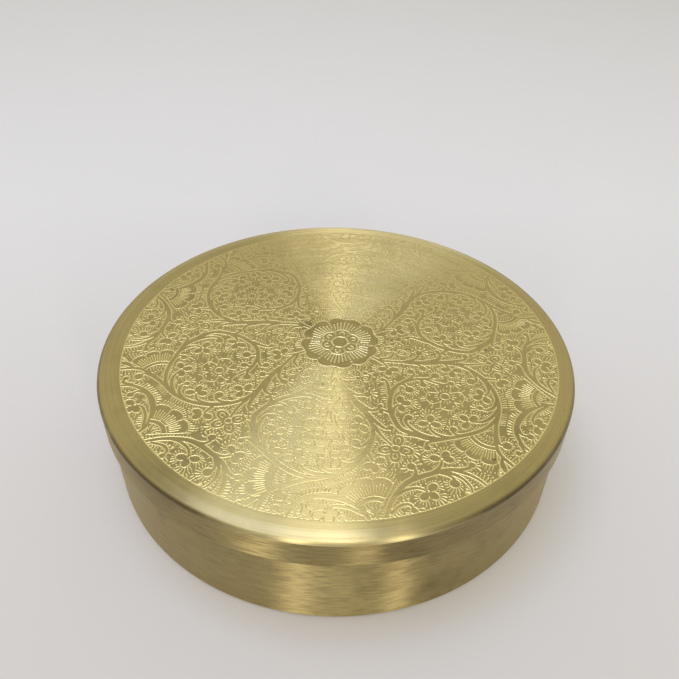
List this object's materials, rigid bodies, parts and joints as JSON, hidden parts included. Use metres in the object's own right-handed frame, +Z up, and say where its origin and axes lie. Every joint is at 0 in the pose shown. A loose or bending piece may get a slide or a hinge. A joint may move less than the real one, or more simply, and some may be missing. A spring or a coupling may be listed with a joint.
{
  "type": "spice box",
  "caption": "Round brass spice box with an etched slip lid over its rim, a ring of small cups round a middle cup inside, and a spoon lying across their rims.",
  "frame": {"origin": "centre of the flat underside, on the surface the box stands on", "axes": "+Z up through the lid; +Y away from the viewer, +X to the viewer's right; the spoon's handle points between +X and -Y"},
  "size_m": [0.203, 0.203, 0.0505],
  "materials": {
    "box_brass": "lathe-brushed, satin",
    "lid_brass": "lathe-brushed satin, with a matt acid-etched ground",
    "cup_brass": "buffed, with fine turning lines",
    "spoon_brass": "hammered and buffed"
  },
  "bodies": {
    "box": {"box": "box_brass"},
    "ring_cup_1": {"ring_cup_1": "cup_brass"},
    "ring_cup_2": {"ring_cup_2": "cup_brass"},
    "ring_cup_3": {"ring_cup_3": "cup_brass"},
    "ring_cup_4": {"ring_cup_4": "cup_brass"},
    "ring_cup_5": {"ring_cup_5": "cup_brass"},
    "ring_cup_6": {"ring_cup_6": "cup_brass"},
    "centre_cup": {"centre_cup": "cup_brass"},
    "spoon": {"spoon": "spoon_brass"},
    "lid": {"lid": "lid_brass"}
  },
  "joints": [
    {"name": "ring_cup_1_lift", "type": "slide", "parent": "box", "child": "ring_cup_1", "axis": [0, 0, 1], "range_m": [0, 0.055]},
    {"name": "ring_cup_2_lift", "type": "slide", "parent": "ring_cup_1", "child": "ring_cup_2", "axis": [0, 0, 1], "range_m": [0, 0.055]},
    {"name": "ring_cup_3_lift", "type": "slide", "parent": "ring_cup_2", "child": "ring_cup_3", "axis": [0, 0, 1], "range_m": [0, 0.055]},
    {"name": "ring_cup_4_lift", "type": "slide", "parent": "ring_cup_3", "child": "ring_cup_4", "axis": [0, 0, 1], "range_m": [0, 0.055]},
    {"name": "ring_cup_5_lift", "type": "slide", "parent": "ring_cup_4", "child": "ring_cup_5", "axis": [0, 0, 1], "range_m": [0, 0.055]},
    {"name": "ring_cup_6_lift", "type": "slide", "parent": "ring_cup_5", "child": "ring_cup_6", "axis": [0, 0, 1], "range_m": [0, 0.055]},
    {"name": "centre_cup_lift", "type": "slide", "parent": "ring_cup_6", "child": "centre_cup", "axis": [0, 0, 1], "range_m": [0, 0.055]},
    {"name": "spoon_lift", "type": "slide", "parent": "centre_cup", "child": "spoon", "axis": [0, 0, 1], "range_m": [0, 0.04]},
    {"name": "lid_lift", "type": "slide", "parent": "spoon", "child": "lid", "axis": [0, 0, 1], "range_m": [0, 0.09]}
  ]
}
